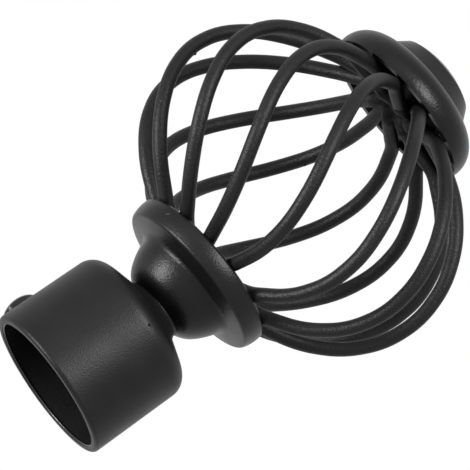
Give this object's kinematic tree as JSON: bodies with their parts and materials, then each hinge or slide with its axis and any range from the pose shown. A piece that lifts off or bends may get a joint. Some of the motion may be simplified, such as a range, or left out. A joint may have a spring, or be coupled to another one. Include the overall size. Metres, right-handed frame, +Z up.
{
  "type": "curtain pole finial",
  "caption": "Black metal finial with a blind socket for a curtain pole, a twisted wire cage between two round collars and a domed end cap.",
  "frame": {"origin": "centre of the socket's mouth, on the bore's axis", "axes": "+X along the socket's bore from the mouth towards the tip, +Y towards the wall when hung, where the clamping screw sits, +Z up"},
  "size_m": [0.102, 0.0722, 0.0716],
  "materials": {
    "black_powder_coat": "fine-textured satin black powder coat",
    "gloss_black": "glossy black",
    "plated_steel": "zinc plated"
  },
  "bodies": {
    "root": {"pole_socket": "black_powder_coat", "set_screw": "gloss_black", "joining_stud": "plated_steel", "lower_collar": "black_powder_coat", "lower_hub": "black_powder_coat", "cage_wire_01": "black_powder_coat", "cage_wire_02": "black_powder_coat", "cage_wire_03": "black_powder_coat", "cage_wire_04": "black_powder_coat", "cage_wire_05": "black_powder_coat", "cage_wire_06": "black_powder_coat", "cage_wire_07": "black_powder_coat", "cage_wire_08": "black_powder_coat", "cage_wire_09": "black_powder_coat", "cage_wire_10": "black_powder_coat", "cage_wire_11": "black_powder_coat", "cage_wire_12": "black_powder_coat", "cage_wire_13": "black_powder_coat", "upper_hub": "black_powder_coat", "upper_collar": "black_powder_coat", "end_cap": "black_powder_coat", "cap_stud": "plated_steel"}
  },
  "joints": []
}
